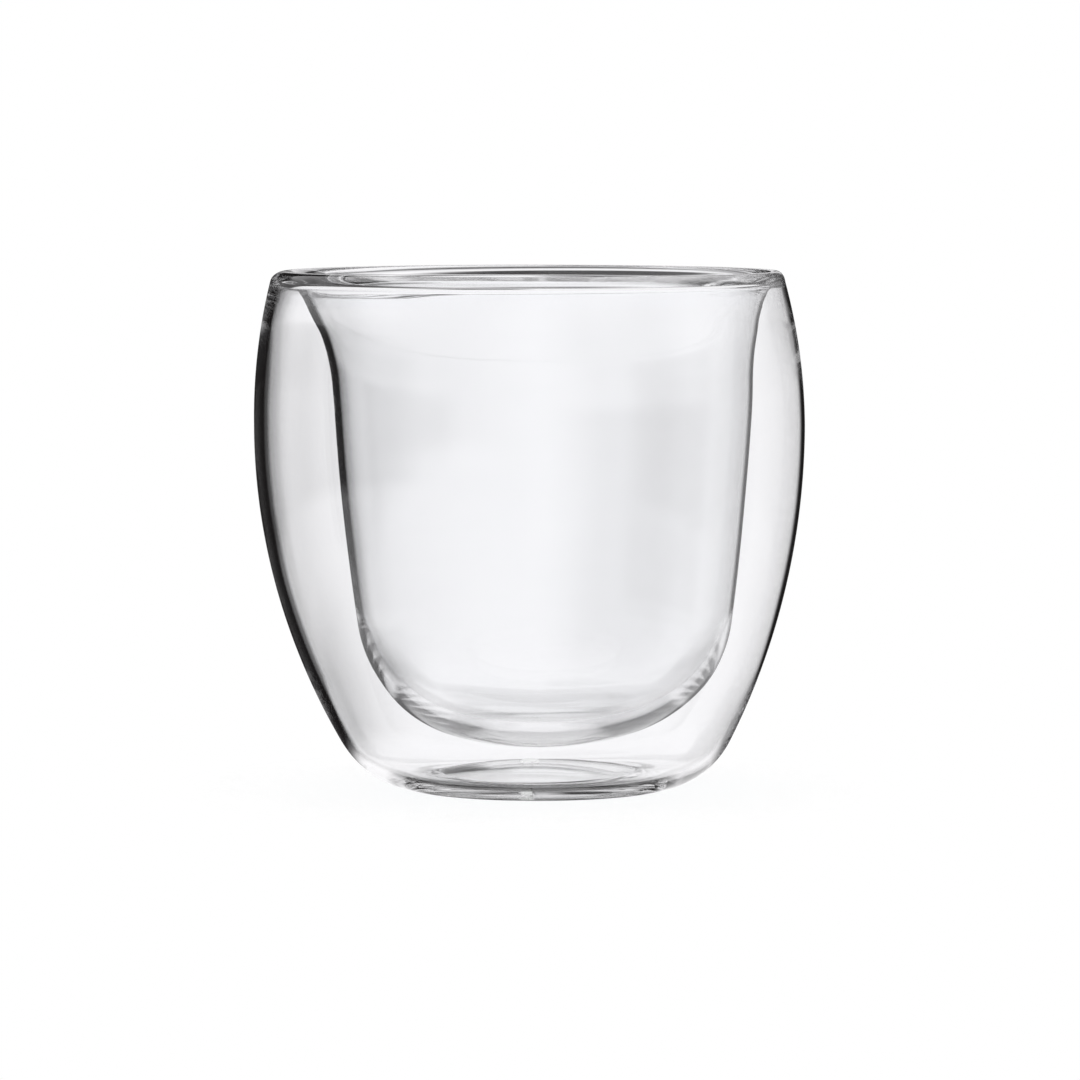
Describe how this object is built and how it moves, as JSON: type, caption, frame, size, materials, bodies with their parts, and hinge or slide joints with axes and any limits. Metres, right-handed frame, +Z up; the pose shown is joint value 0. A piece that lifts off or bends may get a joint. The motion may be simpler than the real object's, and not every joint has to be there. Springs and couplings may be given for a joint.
{
  "type": "double walled glass cup",
  "caption": "Clear double walled glass cup: a tapered bowl hangs inside a rounded shell, fused to it at a round lip, with still air between them and a vent plug under the base.",
  "frame": {"origin": "on the table, at the middle of the flat ring that the cup stands on", "axes": "+Z up along the cup's axis, towards the mouth; X and Y alike, as the cup is round"},
  "size_m": [0.088, 0.088, 0.083],
  "materials": {
    "clear_glass": "fire polished, clear and colourless",
    "vent_silicone": "satin, milky translucent silicone"
  },
  "bodies": {
    "root": {"outer_shell": "clear_glass", "inner_bowl": "clear_glass", "rim_weld": "clear_glass", "vent_plug": "vent_silicone"}
  },
  "joints": []
}
